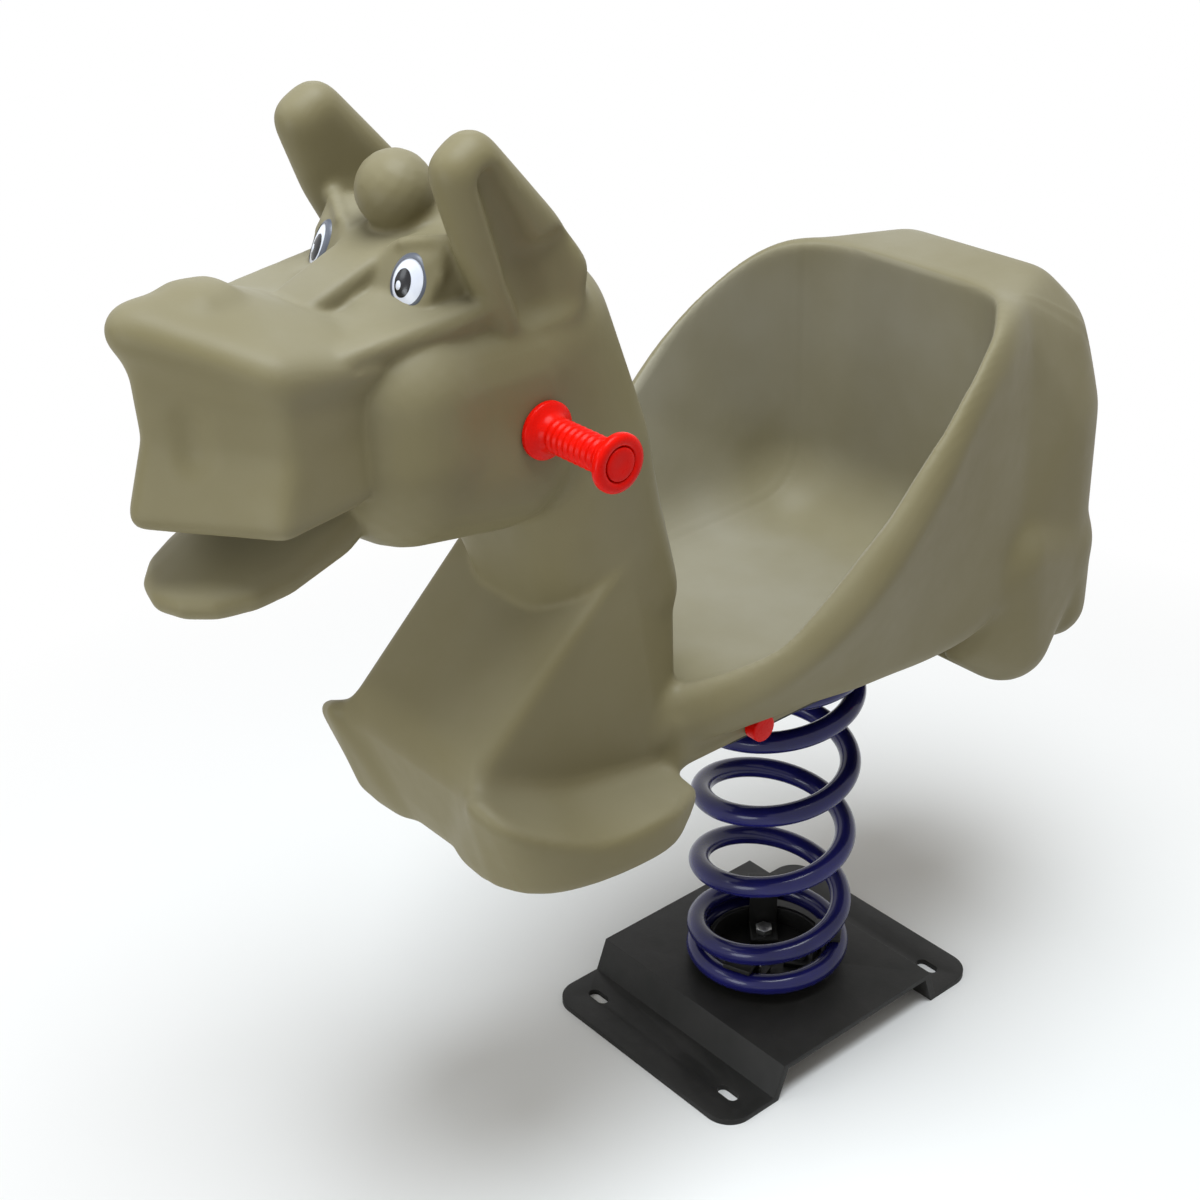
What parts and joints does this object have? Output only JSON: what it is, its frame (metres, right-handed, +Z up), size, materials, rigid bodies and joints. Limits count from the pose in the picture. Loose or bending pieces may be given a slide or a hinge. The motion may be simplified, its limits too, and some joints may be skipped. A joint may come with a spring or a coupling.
{
  "type": "spring rider",
  "caption": "Playground spring rider: a hollow moulded animal seat with side handles, on a coil spring and a bolt-down ground plate.",
  "frame": {"origin": "on the ground, under the axis of the coil spring, at the middle of the anchor slots", "axes": "+Z up, the animal looks along -Y and its left side is +X"},
  "size_m": [0.36, 0.9354, 0.9534],
  "materials": {
    "plate_black": "satin black paint",
    "spring_blue": "glossy dark blue powder coat",
    "shell_khaki": "satin moulded plastic",
    "handle_red": "glossy",
    "steel_zinc": "zinc plated",
    "eye_white": "glossy",
    "pupil_black": "glossy"
  },
  "bodies": {
    "base": {"base_plate": "plate_black", "lower_locating_ring": "plate_black", "lower_clamps": "plate_black", "lower_clamp_bolts": "steel_zinc", "lower_clamp_nuts": "steel_zinc"},
    "spring": {"coil_spring": "spring_blue"},
    "rider": {"mount_channel": "plate_black", "upper_locating_ring": "plate_black", "upper_clamps": "plate_black", "upper_clamp_bolts": "steel_zinc", "upper_clamp_nuts": "steel_zinc", "front_cross_bolt": "steel_zinc", "rear_cross_bolt": "steel_zinc", "cross_bolt_washers": "steel_zinc", "cross_bolt_nuts": "steel_zinc", "cross_bolt_caps": "handle_red", "body_shell": "shell_khaki", "left_eye": "eye_white", "right_eye": "eye_white", "left_pupil": "pupil_black", "right_pupil": "pupil_black", "handle_rod": "steel_zinc", "handle_spacer_tube": "steel_zinc", "left_handle": "handle_red", "right_handle": "handle_red", "handle_washers": "steel_zinc", "handle_nuts": "steel_zinc", "left_handle_cap": "handle_red", "right_handle_cap": "handle_red"}
  },
  "joints": [
    {"name": "rock", "type": "hinge", "parent": "base", "child": "spring", "pos_m": [0, 0, 0.135], "axis": [1, 0, 0], "range_deg": [-18, 18], "stiffness_Nm_per_rad": 800, "springref_deg": -0.69, "deforming": ["coil_spring"]},
    {"name": "sway", "type": "hinge", "parent": "spring", "child": "rider", "pos_m": [0, 0, 0.298], "axis": [0, 1, 0], "range_deg": [-12, 12], "stiffness_Nm_per_rad": 800, "deforming": ["coil_spring"]}
  ]
}
